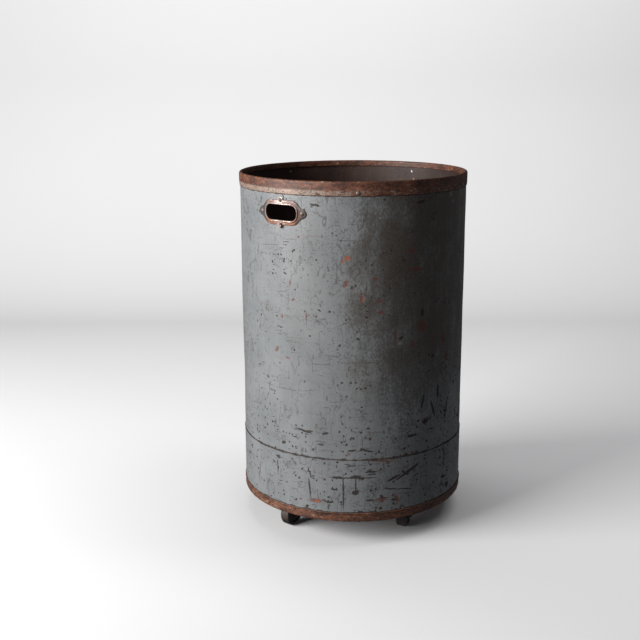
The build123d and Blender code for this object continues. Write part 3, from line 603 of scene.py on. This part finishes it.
def handhole_metal():
    """Pressed plate, paint worn to pinkish metal: rust below, grey paint left on one ear."""
    s = Shader("worn_handhole_metal")
    place = s.place()
    x, y, z = s.split(place)
    up = s.math("SUBTRACT", z, HOLE_Z)
    proud = s.math("SUBTRACT", s.math("ABSOLUTE", y), SHELL_R - 1 * MM)
    grain = s.noise(place, 620, 4, 0.65)
    blotch = s.noise(place, 130, 4, 0.6)
    side = s.math("MULTIPLY", x, s.math("SIGN", s.math("MULTIPLY", y, -1.0)))
    colour = s.mix(s.range(blotch, 0.36, 0.64), (0.150, 0.082, 0.064), (0.330, 0.235, 0.205))
    low = s.range(s.math("ADD", up, s.times(s.math("SUBTRACT", blotch, 0.5), 14 * MM)), -6 * MM, -15 * MM)
    colour = s.mix(s.times(low, 0.85), colour, s.mix(grain, (0.16, 0.055, 0.026), (0.33, 0.135, 0.066)))
    kept = s.range(s.math("ADD", side, s.times(s.math("SUBTRACT", blotch, 0.5), 20 * MM)), -34 * MM, -41 * MM)
    colour = s.mix(kept, colour, s.mix(blotch, PAINT, PAINT_PALE))
    colour = s.mix(s.times(s.range(grain, 0.46, 0.36), 0.8), colour, BROWN_RUST)
    lip = s.range(proud, 1.9 * MM, 2.9 * MM)
    rubbed = s.times(lip, s.range(blotch, 0.34, 0.56))
    colour = s.mix(s.times(rubbed, 0.8), colour, (0.55, 0.46, 0.42))
    throat = s.range(proud, 0.6 * MM, -0.6 * MM)
    colour = s.mix(s.times(throat, 0.8), colour, DARK_RUST)
    metallic = s.times(s.most(rubbed, s.times(s.math("SUBTRACT", 1.0, kept), 0.35)), 0.55)
    roughness = s.math("SUBTRACT", s.range(grain, 0.35, 0.65, 0.38, 0.56), s.times(rubbed, 0.14))
    height = s.math("ADD", s.times(grain, 0.4), s.times(blotch, 0.6))
    return s.finish(colour, roughness, metallic, height, 0.3 * MM)


def speckled_metal(name, scale, deep, mid, bright, rough, metallic=0.0, depth=0.3):
    """A small part's metal: two-tone mottling with bright flecks where it has rubbed."""
    s = Shader(name)
    place = s.place()
    blotch = s.noise(place, scale, 5, 0.62)
    grain = s.noise(place, scale * 6, 4, 0.65)
    colour = s.mix(s.range(blotch, 0.38, 0.60), deep, mid)
    rubbed = s.range(s.math("ADD", s.times(blotch, 0.5), s.times(grain, 0.5)), 0.53, 0.62)
    colour = s.mix(s.times(rubbed, 0.8), colour, bright)
    colour = s.mix(s.times(s.range(grain, 0.44, 0.34), 0.7), colour, DARK_RUST)
    height = s.math("ADD", s.times(blotch, 0.5), s.times(grain, 0.5))
    roughness = s.range(grain, 0.35, 0.65, rough - 0.1, rough + 0.12)
    return s.finish(colour, roughness, s.times(rubbed, metallic), height, depth * MM)


def wheel_black():
    """Hard black composition wheel: scuffed grey on the tread, dusty in its dished sides."""
    s = Shader("scuffed_wheel")
    place = s.place()
    cloud = s.noise(place, 60, 5, 0.65)
    grain = s.noise(place, 700, 4, 0.65)
    scuffs = s.noise(s.stretch(place, (1, 1, 5)), 150, 4, 0.6)
    colour = s.mix(s.range(cloud, 0.40, 0.62), (0.012, 0.011, 0.010), (0.046, 0.031, 0.024))
    colour = s.mix(s.times(s.range(scuffs, 0.58, 0.70), 0.6), colour, (0.085, 0.078, 0.070))
    colour = s.mix(s.times(s.range(grain, 0.58, 0.70), 0.5), colour, (0.11, 0.085, 0.065))
    height = s.math("ADD", s.times(grain, 0.6), s.times(scuffs, 0.4))
    return s.finish(colour, s.range(grain, 0.35, 0.65, 0.45, 0.70), 0.0, height, 0.25 * MM)


# ---------------------------------------------------------------- mesh building
def polar(azimuth, radius, height):
    angle = math.radians(azimuth)
    return (radius * math.sin(angle), -radius * math.cos(angle), height)


def steps(start, end, count):
    """Evenly spaced values from start to end, with both ends."""
    return [start + (end - start) * i / count for i in range(count + 1)]


def arc_points(centre, radius, start, end, count):
    """Points of an arc in the section plane, angles in degrees from outwards, positive upwards."""
    radians = [math.radians(a) for a in steps(start, end, count)]
    return [(centre[0] + radius * math.cos(a), centre[1] + radius * math.sin(a)) for a in radians]


def swept(section, azimuths, shift):
    """A closed outline of radius and height carried round the drum's axis from the first azimuth
    to the last. A full turn joins up, and anything else is closed with a face at each end."""
    joined = math.isclose(azimuths[-1] - azimuths[0], 360.0)
    stations = azimuths[:-1] if joined else azimuths
    size = len(section)
    points = [polar(a, *shift(a, radius, height)) for a in stations for radius, height in section]
    faces = []
    for i in range(len(azimuths) - 1):
        j = (i + 1) % len(stations)
        for k in range(size):
            m = (k + 1) % size
            faces.append((i * size + k, j * size + k, j * size + m, i * size + m))
    if not joined:
        last = (len(stations) - 1) * size
        faces.append(tuple(range(size)))
        faces.append(tuple(last + k for k in reversed(range(size))))
    return points, faces


def make_object(name, points, faces):
    mesh = bpy.data.meshes.new(name)
    mesh.from_pydata(points, [], faces)
    whole = bmesh.new()
    whole.from_mesh(mesh)
    bmesh.ops.recalc_face_normals(whole, faces=whole.faces)
    whole.to_mesh(mesh)
    whole.free()
    made = bpy.data.objects.new(name, mesh)
    bpy.context.scene.collection.objects.link(made)
    return made


def settle(piece):
    """Replace a piece's mesh with what its modifiers make of it."""
    graph = bpy.context.evaluated_depsgraph_get()
    mesh = bpy.data.meshes.new_from_object(piece.evaluated_get(graph))
    piece.modifiers.clear()
    piece.data = mesh


def cut(piece, cutters):
    """Take closed cutters out of a piece, then throw the cutters away."""
    for cutter in cutters:
        tool = piece.modifiers.new("cut", "BOOLEAN")
        tool.operation = "DIFFERENCE"
        tool.solver = "EXACT"
        tool.object = cutter
    settle(piece)
    for cutter in cutters:
        bpy.data.objects.remove(cutter)


def install(piece, body, slot, node, *materials):
    """Shade a finished piece, then put it on its body in place of a CAD node."""
    for material in materials:
        piece.data.materials.append(material)
    piece.data.shade_smooth()
    piece.data.set_sharp_from_angle(angle=math.radians(SHARP_FROM))
    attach(piece, body)
    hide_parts(node)


def soft_step(value, low, high):
    t = min(1.0, max(0.0, (value - low) / (high - low)))
    return t * t * (3 - 2 * t)


def wander(azimuth, height, size, seed):
    """Smooth noise from about -1 to 1 over the drum's wall, with features of about a size."""
    return noise.noise(Vector(polar(azimuth, SHELL_R, height)) / size + Vector((seed, 2 * seed, -seed)))


def azimuth_off(azimuth, centre):
    """Arc length between an azimuth and a centre, the short way round."""
    return abs((azimuth - centre + 180) % 360 - 180) * math.radians(1) * SHELL_R


# ---------------------------------------------------------------- shell and kick band
CLEAR_ACROSS = 75 * MM        # the wall stays round this far to each side of a handhole
CLEAR_UP = 48 * MM
DENTS = [
    # azimuth, height, half width, half height, depth
    (22, 0.365, 0.070, 0.022, 1.1 * MM),
    (-40, 0.300, 0.060, 0.050, 1.6 * MM),
    (70, 0.470, 0.045, 0.070, 1.0 * MM),
    (140, 0.260, 0.055, 0.040, 1.8 * MM),
    (225, 0.430, 0.060, 0.060, 1.5 * MM),
    (262, 0.560, 0.040, 0.050, 1.2 * MM),
]


def shell_dent(azimuth, height):
    """How far the shell stands in or out: nil at the rims, under the band and by the handholes."""
    free = soft_step(height, BAND_TOP + 2 * MM, BAND_TOP + 35 * MM)
    free *= 1 - soft_step(height, RIM_FOOT - 30 * MM, RIM_FOOT - 2 * MM)
    for centre in (0, 180):
        across = azimuth_off(azimuth, centre) / CLEAR_ACROSS
        up = abs(height - HOLE_Z) / CLEAR_UP
        free *= soft_step(math.hypot(across, up), 0.8, 1.5)
    free *= soft_step(azimuth_off(azimuth, SHELL_SEAM), 0.025, 0.06)
    out = 0.8 * MM * wander(azimuth, height, 0.11, 3.1) + 0.25 * MM * wander(azimuth, height, 0.035, 7.7)
    for centre, level, half_width, half_height, depth in DENTS:
        away = (azimuth_off(azimuth, centre) / half_width) ** 2 + ((height - level) / half_height) ** 2
        out -= depth * math.exp(-2 * away)
    return free * out


def build_shell(paint, inside):
    """One sheet wrapped once round, its far end joggled inwards under its near end."""
    turn_length = 2 * math.pi * SHELL_R
    burr_width = 1.5 * MM
    rows = steps(SHELL_FOOT, SHELL_HEAD, 84)
    inner = SHELL_R - SHELL_SHEET
    section = [(SHELL_R, z) for z in rows] + [(inner, z) for z in reversed(rows[::3])]
    lap = SHELL_LAP / turn_length * 360
    seam_again = SHELL_SEAM + 360
    azimuths = steps(SHELL_SEAM, seam_again - 8, 352) + steps(seam_again - 7, seam_again, 14)
    azimuths += steps(seam_again + 0.5, seam_again + lap, 8)

    def shift(azimuth, radius, height):
        past = (azimuth - SHELL_SEAM - 360) / 360 * turn_length
        under = soft_step(past, -SHELL_RAMP, 0.0) * (SHELL_SHEET + 0.05 * MM)
        burr = 0.0
        if past < -SHELL_RAMP:
            burr = 0.12 * MM * (1 - soft_step(azimuth_off(azimuth, SHELL_SEAM), 0.0, burr_width))
        return radius + shell_dent(azimuth, height) - under - burr, height

    shell = make_object("drum_shell", *swept(section, azimuths, shift))
    cut(shell, [handhole_cutter(0), handhole_cutter(180), rivet_hole_cutter()])
    install(shell, "drum", "grey_paint", "shell", paint, inside)
    for face in shell.data.polygons:
        outwards = Vector((face.center.x, face.center.y, 0)).normalized()
        face.material_index = 1 if face.normal.dot(outwards) < -0.3 else 0


def build_band(paint):
    """The kick band: its near end laps outside its far end, and its top edge is turned out a little."""
    turn_length = 2 * math.pi * SHELL_R
    top = BAND_TOP
    rows = steps(SHELL_FOOT, top - 5 * MM, 15)
    lip = [(BAND_R, top - 3 * MM), (BAND_R + 0.15 * MM, top - 1.6 * MM), (BAND_R + 0.35 * MM, top - 0.9 * MM)]
    lip += [(BAND_R + 0.35 * MM, top - 0.35 * MM), (BAND_R + 0.1 * MM, top)]
    inner = [(SHELL_R + 0.15 * MM, top), (SHELL_R, top - 1.5 * MM), (SHELL_R, SHELL_FOOT)]
    section = [(BAND_R, z) for z in rows] + lip + inner
    lap = (BAND_LAP - 1 * MM) / turn_length * 360
    azimuths = steps(BAND_SEAM, BAND_SEAM + 12, 24) + steps(BAND_SEAM + 13, BAND_SEAM + 360 + lap, 352)

    def shift(azimuth, radius, height):
        along = (azimuth - BAND_SEAM) / 360 * turn_length
        over = 1 - soft_step(along, BAND_LAP, BAND_LAP + BAND_RAMP)
        over *= soft_step(height, CHIME_TOP - 4 * MM, CHIME_TOP) * (BAND_SHEET + 0.05 * MM)
        loose = soft_step(height, CHIME_TOP, CHIME_TOP + 40 * MM) * soft_step(radius, SHELL_R, BAND_R)
        wave = 0.22 * MM * max(0.0, wander(azimuth, height, 0.06, 5.3)) * loose
        edge = soft_step(height, top - 6 * MM, top) * 0.4 * MM * wander(azimuth, top, 0.03, 9.2)
        return radius + over + wave, height - abs(edge)

    band = make_object("kick_band_sheet", *swept(section, azimuths, shift))
    install(band, "drum", "grey_paint", "kick_band", paint)


# ---------------------------------------------------------------- rolled rims
def build_top_rim(metal):
    """Sheet folded over the shell's edge: a long outside leg, a round crest and a short inside leg."""
    roll = 7 * MM
    middle = RIM_R - roll / 2
    spring = CREST - roll / 2
    inner = RIM_R - roll
    inner_foot = CREST - 12 * MM
    skin = RIM_R - RIM_SHEET
    small = 0.5 * MM
    section = arc_points((RIM_R - small, RIM_FOOT + small), small, -90, 0, 3)
    section += [(RIM_R, z) for z in steps(RIM_FOOT + 2 * MM, spring - 1 * MM, 9)]
    section += arc_points((middle, spring), roll / 2, 0, 180, 14)
    section += [(inner, z) for z in steps(spring - 2 * MM, inner_foot + 1 * MM, 3)]
    section += arc_points((inner + small, inner_foot + small), small, 180, 270, 3)
    section += [(inner + RIM_SHEET, inner_foot), (inner + RIM_SHEET, spring)]
    section += [(middle, CREST - RIM_SHEET), (skin, spring), (skin, RIM_FOOT)]
    gap = math.degrees(JOINT_GAP / RIM_R)

    def shift(azimuth, radius, height):
        low = 1 - soft_step(height, RIM_FOOT, RIM_FOOT + 9 * MM)
        outer = soft_step(radius, RIM_R - 1.6 * MM, RIM_R)
        drawn_in = 0.55 * MM * low * outer
        worn = 0.30 * MM * abs(wander(azimuth, height, 0.020, 1.7))
        worn += 0.35 * MM * abs(wander(azimuth, 0, 0.07, 4.2))
        ripple = low * 0.8 * MM * abs(wander(azimuth, 0, 0.028, 6.4))
        crest = soft_step(height, spring, CREST) * 0.35 * MM * abs(wander(azimuth, 0, 0.05, 8.8))
        return radius - drawn_in - worn * outer, height + ripple * outer - crest

    azimuths = steps(RIM_JOINT + gap / 2, RIM_JOINT + 360 - gap / 2, 480)
    rim = make_object("rolled_top_rim", *swept(section, azimuths, shift))
    cut(rim, [rivet_hole_cutter()])
    install(rim, "drum", "rusted_rim", "top_rim", metal)


def build_bottom_rim(metal):
    """The foot's rolled rim, upside down, with a small bead along its upper edge."""
    roll = CHIME_R - (SHELL_R - 2 * SHELL_SHEET - PLATE_SHEET - CHIME_SHEET)
    middle = CHIME_R - roll / 2
    spring = CHIME_FOOT + roll / 2
    inner = CHIME_R - roll
    inner_head = CHIME_FOOT + 13 * MM
    bead = 1.3 * MM
    bead_centre = (BAND_R + CHIME_SHEET / 2, CHIME_TOP - bead)
    section = [(BAND_R, CHIME_TOP - 0.3 * MM), (BAND_R, spring), (middle, CHIME_FOOT + CHIME_SHEET)]
    section += [(inner + CHIME_SHEET, spring), (inner + CHIME_SHEET, inner_head)]
    section += [(inner + 0.2 * MM, inner_head), (inner, inner_head - 0.4 * MM)]
    section += [(inner, z) for z in steps(inner_head - 3 * MM, spring + 1 * MM, 3)]
    section += arc_points((middle, spring), roll / 2, 180, 360, 14)
    section += [(CHIME_R, z) for z in steps(spring + 1 * MM, CHIME_TOP - 3.6 * MM, 5)]
    section += arc_points(bead_centre, bead, -50, 100, 9)
    gap = math.degrees(JOINT_GAP / CHIME_R)

    def shift(azimuth, radius, height):
        outer = soft_step(radius, CHIME_R - 1.2 * MM, CHIME_R)
        worn = 0.35 * MM * abs(wander(azimuth, height, 0.018, 2.9))
        worn += 0.3 * MM * abs(wander(azimuth, 0, 0.06, 5.9))
        low = 1 - soft_step(height, CHIME_FOOT, spring)
        return radius - worn * outer, height + low * 0.4 * MM * abs(wander(azimuth, 0, 0.04, 3.6))

    azimuths = steps(CHIME_JOINT + gap / 2, CHIME_JOINT + 360 - gap / 2, 480)
    rim = make_object("rolled_bottom_rim", *swept(section, azimuths, shift))
    install(rim, "drum", "rusted_rim", "bottom_rim", metal)


# ---------------------------------------------------------------- handholes
def opening_outline():
    """Points round the handhole's opening with their outward directions, from its right side."""
    half_x = OPENING[0] / 2 - OPENING_CORNER
    half_z = OPENING[1] / 2 - OPENING_CORNER
    straight = {0: (half_z, 4), 90: (half_x, 56), 180: (half_z, 4), 270: (half_x, 56)}
    samples = []
    for side, (half, count) in straight.items():
        angle = math.radians(side)
        ahead = Vector((math.cos(angle), math.sin(angle)))
        along = Vector((-math.sin(angle), math.cos(angle)))
        reach = OPENING_CORNER + (half_x if side % 180 == 0 else half_z)
        for t in steps(-half, half, count):
            samples.append((ahead * reach + along * t, ahead))
        corner = ahead * (reach - OPENING_CORNER) + along * half
        for degrees in steps(side, side + 90, 36)[1:-1]:
            out = Vector((math.cos(math.radians(degrees)), math.sin(math.radians(degrees))))
            samples.append((corner + out * OPENING_CORNER, out))
    return samples


def in_tongue(along, across, reach, radius, root, half_width):
    """Whether a point lies in a tongue that narrows from a square root to a round end."""
    if math.hypot(along - reach, across) < radius:
        return True
    if not root <= along <= reach:
        return False
    return across < half_width + (radius - half_width) * (along - root) / (reach - root)


def on_plate(point):
    """Whether a point of the flattened handhole plate lies inside its outer edge."""
    x, z = abs(point.x), abs(point.y)
    past = Vector((x - OPENING[0] / 2 + OPENING_CORNER, z - OPENING[1] / 2 + OPENING_CORNER))
    flange = Vector((max(past.x, 0), max(past.y, 0))).length < OPENING_CORNER + FLANGE
    side = in_tongue(x, z, SIDE_EAR_REACH, SIDE_EAR_R, *SIDE_EAR_ROOT)
    upright = in_tongue(z, x, UPRIGHT_EAR_REACH, UPRIGHT_EAR_R, *UPRIGHT_EAR_ROOT)
    return flange or side or upright


def reach_to_edge(point, out):
    """Distance from the opening to the plate's outer edge along one direction."""
    reach = FLANGE - 0.5 * MM
    step = 0.1 * MM
    while on_plate(point + out * (reach + step)):
        reach += step
    return reach


def on_wall(x, up, out, facing):
    """A point of the flattened handhole carried onto the drum's curved wall."""
    radius = SHELL_R + out
    return turn(facing) @ Vector((x, -math.sqrt(radius**2 - x**2), HOLE_Z + up))


def build_handhole_plate(name, facing, node, metal):
    """A pressed ring: a curl inside the wall, a throat, a raised round lip, a flange with ears."""
    curl = 3.9 * MM
    back = -SHELL_SHEET - PLATE_SHEET
    lip_top = PLATE_SHEET + 1.5 * MM
    profile = [
        (curl, -SHELL_SHEET), (curl, back + 0.5 * MM), (curl - 0.5 * MM, back), (1.2 * MM, back),
        (0.35 * MM, back + 0.25 * MM), (0.0, back + 1.0 * MM), (0.0, 1.3 * MM), (0.12 * MM, 2.1 * MM),
        (0.5 * MM, 2.7 * MM), (1.1 * MM, lip_top), (1.9 * MM, lip_top), (2.6 * MM, 2.6 * MM),
        (3.0 * MM, 2.0 * MM), (3.5 * MM, 1.6 * MM), (4.2 * MM, PLATE_SHEET),
    ]
    points, size = [], len(profile) + 6
    samples = opening_outline()
    for i, (spot, out) in enumerate(samples):
        edge = reach_to_edge(spot, out)
        rim = [(edge * 0.6, PLATE_SHEET), (edge - 0.6 * MM, PLATE_SHEET)]
        rim += [(edge - 0.15 * MM, PLATE_SHEET - 0.2 * MM), (edge, 0.9 * MM), (edge, 0.0), (1.5 * MM, 0.0)]
        for g, h in profile + rim:
            seat = Vector((spot.x, spot.y, facing)) / 0.012 + Vector((g, 0, 0)) / (4 * MM)
            beaten = 0.22 * MM * noise.noise(seat) * soft_step(h, 1.0 * MM, PLATE_SHEET)
            at = spot + out * g
            points.append(on_wall(at.x, at.y, h + beaten, facing))
    faces = []
    for i in range(len(samples)):
        j = (i + 1) % len(samples)
        for k in range(size):
            m = (k + 1) % size
            faces.append((i * size + k, j * size + k, j * size + m, i * size + m))
    plate = make_object(name, points, faces)
    install(plate, "drum", "worn_steel", node, metal)


def wall_cutter(name, azimuth, centre_z, outline, reach):
    """A closed prism through the drum's wall, from an outline of sideways and upward places."""
    place = turn(azimuth)
    ends = [-SHELL_R - reach, -SHELL_R + reach]
    points = [place @ Vector((x, y, centre_z + z)) for y in ends for x, z in outline]
    size = len(outline)
    faces = [tuple(range(size)), tuple(range(2 * size - 1, size - 1, -1))]
    faces += [(i, (i + 1) % size, size + (i + 1) % size, size + i) for i in range(size)]
    return make_object(name, points, faces)


def handhole_cutter(facing):
    """Clears the wall one sheet wider than the opening, for the plate's throat."""
    outline = [spot + out * PLATE_SHEET for spot, out in opening_outline()]
    return wall_cutter("handhole_cutter", facing, HOLE_Z, outline, 15 * MM)


def rivet_hole_cutter():
    """Clears the rim's empty rivet hole."""
    angles = steps(0, 2 * math.pi, 24)[:-1]
    ring = [(EMPTY_HOLE_R * math.cos(a), EMPTY_HOLE_R * math.sin(a)) for a in angles]
    return wall_cutter("rivet_hole_cutter", EMPTY_HOLE_AZIMUTH, RIM_RIVET_Z, ring, 10 * MM)


# ---------------------------------------------------------------- wheels
def build_wheel(caster, rubber):
    """A solid wheel turned about its axle: a crowned tread, dished sides and a boss."""
    radius, half, boss, boss_half, bore = 25 * MM, 10 * MM, 8.5 * MM, 11 * MM, 5 * MM
    dish_foot, dish_edge, dish_floor, edge = 10 * MM, 18.5 * MM, 7.5 * MM, 3 * MM
    side = [
        (bore, boss_half), (boss - 0.5 * MM, boss_half), (boss, boss_half - 0.5 * MM),
        (boss + 0.2 * MM, dish_floor + 0.9 * MM), (dish_foot - 0.5 * MM, dish_floor),
        (dish_edge - 1 * MM, dish_floor), (dish_edge - 0.2 * MM, dish_floor + 0.7 * MM),
        (dish_edge, half - 0.5 * MM), (dish_edge + 0.5 * MM, half),
    ]
    shoulder = arc_points((radius - edge, half - edge), edge, 90, 8, 6)
    tread = [(radius - 0.25 * MM, 5 * MM), (radius - 0.05 * MM, 2 * MM), (radius - 0.05 * MM, 0.7 * MM)]
    upper = side + shoulder + tread
    mirrored = [(r, -w) for r, w in reversed(upper)]
    section = upper + [(radius, 0.0)] + mirrored

    def shift(azimuth, r, w):
        scuffed = soft_step(r, radius - 2 * MM, radius) * 0.25 * MM
        return r - scuffed * abs(wander(azimuth * 1.7, w * 6, 0.06, 2.2 + CASTERS.index(caster))), w

    points, faces = swept(section, steps(0, 360, 96), shift)
    joint = JOINTS[f"{caster}_wheel_spin"]
    axle = Vector(joint["axis"]).to_track_quat("Z", "Y").to_matrix().to_4x4()
    place = Matrix.Translation(joint["pos_m"]) @ axle
    wheel = make_object(f"{caster}_wheel_tyre", [place @ Vector(p) for p in points], faces)
    install(wheel, f"{caster}_roller", "wheel_black", f"{caster}_caster_wheel", rubber)


# ---------------------------------------------------------------- assembly
add_camera()
paper = add_paper()
add_lights(paper)

paint = grey_paint()
inside = inner_wall()
top_metal = rim_metal(
    "rusted_top_rim", RIM_FOOT, CREST, 1 * MM, 9 * MM, 0.47,
    (0.058, 0.019, 0.010), (0.150, 0.052, 0.026), (0.250, 0.088, 0.042), (0.36, 0.28, 0.23),
)
OUT_OF_REACH = CHIME_TOP + 1    # the bottom rim has no crest to be rubbed
foot_metal = rim_metal(
    "rusted_bottom_rim", CHIME_FOOT, OUT_OF_REACH, 5 * MM, 15 * MM, 0.30,
    (0.060, 0.021, 0.012), (0.150, 0.056, 0.030), (0.280, 0.110, 0.054), (0.42, 0.30, 0.22),
)
plate_metal = handhole_metal()
rivet_metal = speckled_metal(
    "worn_rivets", 240, (0.075, 0.040, 0.030), (0.180, 0.125, 0.105), (0.42, 0.36, 0.33), 0.45, 0.7
)
bolt_metal = speckled_metal(
    "rubbed_bolt", 300, (0.10, 0.060, 0.045), (0.30, 0.22, 0.19), (0.62, 0.55, 0.50), 0.38, 0.8
)
dark_metal = speckled_metal(
    "oily_steel", 75, (0.014, 0.010, 0.008), (0.075, 0.040, 0.026), (0.17, 0.10, 0.065), 0.52, 0.3
)
fork_metal = speckled_metal(
    "rusty_fork", 70, (0.012, 0.009, 0.008), (0.060, 0.029, 0.018), (0.150, 0.078, 0.050), 0.62
)
bearing_metal = speckled_metal(
    "greasy_bearing_steel", 260, (0.10, 0.09, 0.08), (0.32, 0.30, 0.28), (0.55, 0.53, 0.50), 0.3, 0.9, 0.1
)
rubber = wheel_black()

build_shell(paint, inside)
build_band(paint)
build_top_rim(top_metal)
build_bottom_rim(foot_metal)
build_handhole_plate("front_handhole_ring", 0, "front_handhole_plate", plate_metal)
build_handhole_plate("rear_handhole_ring", 180, "rear_handhole_plate", plate_metal)
for caster in CASTERS:
    build_wheel(caster, rubber)

FINISHES = {
    "rivets": rivet_metal,
    "front_handhole_bolt": bolt_metal,
    "front_handhole_nut": dark_metal,
    "bottom_pan": pan_steel(),
    "fork": fork_metal,
    "balls": bearing_metal,
    "bushing": bearing_metal,
}
for name, node in NODES.items():
    finish = next((metal for ending, metal in FINISHES.items() if name.endswith(ending)), dark_metal)
    node.data.materials.clear()
    node.data.materials.append(finish)
